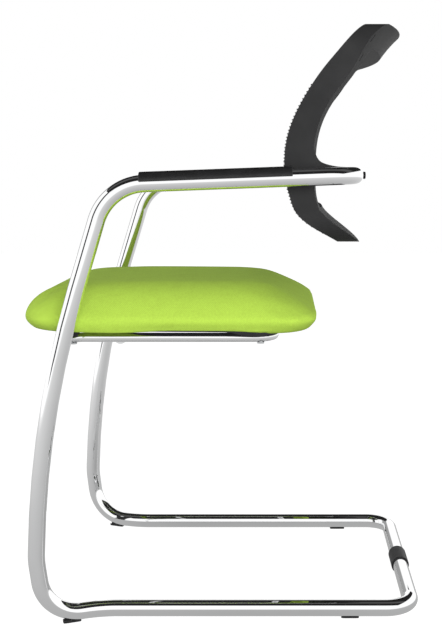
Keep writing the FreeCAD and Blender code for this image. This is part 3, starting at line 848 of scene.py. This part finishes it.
def makePan():
    # a shallow tray: its rim comes up round the edge of the board, and dips over the rail at the rear
    low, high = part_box("seat_pan")
    middle, reach = (low.y + high.y) / 2, (high.y - low.y) / 2
    slope = (high.z - low.z - pan["thick"]) / (high.y - low.y)
    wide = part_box("seat_board")[1].x + pan["rim"]
    rings = []
    for step in range(pan["steps"] + 1):
        along, narrow = roundedEnd(step, pan)
        y = middle + reach * along
        spreadShare = easeBetween(y, pan["wideFrom"], pan["wideTo"])
        half = (pan["frontHalf"] + (wide - pan["frontHalf"]) * spreadShare) * narrow
        flat = min(pan["flatHalf"], half * pan["flatMost"])
        base = low.z + (high.y - y) * slope
        drop = within(y, pan["dropIn"], pan["dropOut"])
        edge = base + (pan["rimLift"] * (1 - drop) - pan["drop"] * drop) * spreadShare
        rim = base + pan["thick"] + (pan["rimHigh"] - pan["thick"]) * spreadShare
        # the wall is thick where the tray is wide, and thin at the narrow front
        inner = half - pan["rim"] * pan["wallShare"] if half > wide - pan["rim"] else half * pan["frontWall"]
        turned = (flat + (half - flat) * 0.5, base + (edge - base) * 0.4)
        side = [(flat, base), turned, (half, edge), (half, rim), (inner, rim), (inner, base + pan["thick"])]
        rings.append([Vector((-x, y, z)) for x, z in side] + [Vector((x, y, z)) for x, z in reversed(side)])
    mould("seatPan", rings, pan["edge"], "seat_pan")


saddle = {
    "long": {"front": 0.017, "rear": 0.026}, "half": 0.0135, "waist": 0.0095, "down": 0.0026,
    "flare": 0.001, "flareHigh": 0.0025, "clear": 0.0008,
    "endPower": 4, "endStop": 0.995, "steps": 14, "arcSteps": 8, "edge": 0.0005,
}


def saddleSection(top):
    # the hollow that fits the rail and the body above it, across and up from the middle of the rail
    radius, down = rail["radius"], saddle["down"]
    wrap = math.asin(down / radius)
    inner = []
    for step in range(saddle["arcSteps"] + 1):
        angle = wrap + (math.pi - 2 * wrap) * step / saddle["arcSteps"]
        inner.append((radius * math.cos(angle), radius * math.sin(angle)))
    waist, half, flare = saddle["waist"], saddle["half"], saddle["flare"]
    right = [(half, top), (half, top - flare), (waist + flare, down + saddle["flareHigh"]), (waist, down)]
    return inner, [(-across, up) for across, up in reversed(right)] + right


def makeSaddle(end, sideName):
    node = "saddle_" + end + "_" + sideName
    low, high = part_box(node)
    x, y = (low.x + high.x) / 2, (low.y + high.y) / 2
    inner, outer = saddleSection(high.z - rail["height"])
    rings = []
    for step in range(saddle["steps"] + 1):
        along, narrow = roundedEnd(step, saddle)
        reachY = y + along * saddle["long"][end] / 2
        ring = [Vector((x + across, reachY, rail["height"] + up)) for across, up in inner]
        for across, up in outer:
            drawn = math.copysign(max(abs(across) * narrow, rail["radius"] + saddle["clear"]), across)
            ring.append(Vector((x + drawn, reachY, rail["height"] + up)))
        rings.append(ring)
    mould("saddle" + end.capitalize() + sideName.capitalize(), rings, saddle["edge"], node)


glide = {
    "long": 0.027, "flatHalf": 0.0042, "lipHalf": 0.0062, "lipHigh": 0.0041, "wrapShare": 0.94,
    "endPower": 6, "endStop": 0.995, "steps": 12, "arcSteps": 6, "edge": 0.0003,
}


def glideSection():
    # the hollow that fits the tube and the foot below it, across and up from the floor
    radius, centreHigh = tube["radius"], tube["floorRun"]
    wrap = math.asin(glide["lipHalf"] / radius) * glide["wrapShare"]
    inner = []
    for step in range(glide["arcSteps"] + 1):
        angle = wrap - 2 * wrap * step / glide["arcSteps"]
        inner.append((radius * math.sin(angle), centreHigh - radius * math.cos(angle)))
    lipHalf, lipHigh, flatHalf = glide["lipHalf"], glide["lipHigh"], glide["flatHalf"]
    return inner + [(-lipHalf, lipHigh), (-flatHalf, 0), (flatHalf, 0), (lipHalf, lipHigh)]


def makeGlide(end, sideName):
    node = "glide_" + end + "_" + sideName
    low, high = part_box(node)
    middle = (low + high) / 2
    corners = tubeCorners(1 if sideName == "left" else -1)
    along = (corners[6] - corners[5]).normalized() if end == "front" else Vector((0, 1, 0))
    across = along.cross(Vector((0, 0, 1)))
    rings = []
    for step in range(glide["steps"] + 1):
        share, narrow = roundedEnd(step, glide)
        base = Vector((middle.x, middle.y, 0)) + along * share * glide["long"] / 2
        rings.append([base + across * (x * narrow) + Vector((0, 0, z)) for x, z in glideSection()])
    mould("glide" + end.capitalize() + sideName.capitalize(), rings, glide["edge"], node)


places = [(end, sideName) for end in ("front", "rear") for sideName in ("left", "right")]
makePan()
for end, sideName in places:
    makeSaddle(end, sideName)
print("pan and saddles made")
for end, sideName in places:
    makeGlide(end, sideName)
print("glides made")


# knitted net of the back
net = {
    "ribPitch": 0.0049, "ribRadius": 0.0011, "ribSteps": 56, "ribSides": 6, "ribsIn": 0.006,
    "threadPitch": 0.0062, "threadRadius": 0.00035, "threadSides": 4, "threadWave": 0.0011, "threadIn": 0.002,
    "readIn": 0.015, "readRows": 48, "readFrom": 0.04, "readSpan": 0.92,
    "wrapLow": 0.625, "wrapHigh": 0.797, "wrapIn": 0.0006,
    "edgeIn": 0.003, "bowLow": 0.004, "bowHigh": 0.042, "cornerLow": 0.036, "cornerHigh": 0.030,
}


def netSurface():
    # front face of the back, read from the frame along one line and bowed by the frame's own rule
    low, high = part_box("back_mesh")
    frameLow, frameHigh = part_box("back_frame")
    mesh = nodes["back_mesh"].data
    sheet = BVHTree.FromPolygons([v.co for v in mesh.vertices], [p.vertices for p in mesh.polygons])
    column = high.x - net["readIn"]

    def bowAt(z, x):
        share = (z - frameLow.z) / (frameHigh.z - frameLow.z)
        bow = net["bowLow"] + (net["bowHigh"] - net["bowLow"]) * share
        return bow * (1 - (x / frameHigh.x) ** 2)

    rows = []
    for index in range(net["readRows"] + 1):
        z = low.z + (high.z - low.z) * (net["readFrom"] + net["readSpan"] * index / net["readRows"])
        hit = sheet.ray_cast(Vector((column, low.y - 0.1, z)), Vector((0, 1, 0)))[0]
        rows.append((z, hit.y - bowAt(z, column)))

    def front(z):
        for (zLow, yLow), (zHigh, yHigh) in zip(rows, rows[1:]):
            if z <= zHigh or zHigh == rows[-1][0]:
                share = (z - zLow) / (zHigh - zLow)
                return yLow + (yHigh - yLow) * share

    def point(x, z):
        return Vector((x, front(z) + bowAt(z, x), z))

    def halfWidthAt(z):
        # the net's side edge follows the rounded corners of the back, and between them its ribs wrap the rims
        if net["wrapLow"] < z < net["wrapHigh"]:
            return frameHigh.x - net["wrapIn"]
        inside = high.x - net["edgeIn"]
        for corner, far in ((net["cornerLow"], low.z + net["cornerLow"] - z),
                            (net["cornerHigh"], z - high.z + net["cornerHigh"])):
            if far > 0:
                return inside - corner + math.sqrt(max(corner ** 2 - far ** 2, 0))
        return inside

    return point, halfWidthAt, low.z, high.z


def yarnAlong(knit, points, radius, sides):
    rings = []
    for index, centre in enumerate(points):
        along = alongAt(points, index)
        aside = along.cross(Vector((0, 0.2, 1))).normalized()
        rings.append(roundRing(knit, centre, aside, aside.cross(along), radius, sides))
    closeRings(knit, rings)


def makeNet():
    point, halfWidthAt, low, high = netSurface()
    knit = bmesh.new()
    span = high - low - 2 * net["ribsIn"]
    ribs = int(span / net["ribPitch"])
    zs = [low + net["ribsIn"] + (index + 0.5) * span / ribs for index in range(ribs)]
    for z in zs:
        half = halfWidthAt(z)
        path = [point(half * (2 * i / net["ribSteps"] - 1), z) for i in range(net["ribSteps"] + 1)]
        yarnAlong(knit, path, net["ribRadius"], net["ribSides"])
    columns = int(2 * halfWidthAt((low + high) / 2) / net["threadPitch"])
    for column in range(columns + 1):
        x = (column - columns / 2) * net["threadPitch"]
        path = []
        for index, z in enumerate(zs):
            if abs(x) < halfWidthAt(z) - net["threadIn"]:
                sway = net["threadWave"] * (1 if index % 2 else -1)
                path.append(point(x + sway, z))
        if len(path) > 2:
            yarnAlong(knit, path, net["threadRadius"], net["threadSides"])
    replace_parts(meshPiece("backNet", knit, yarn), "back_mesh")


makeNet()
print("net made")
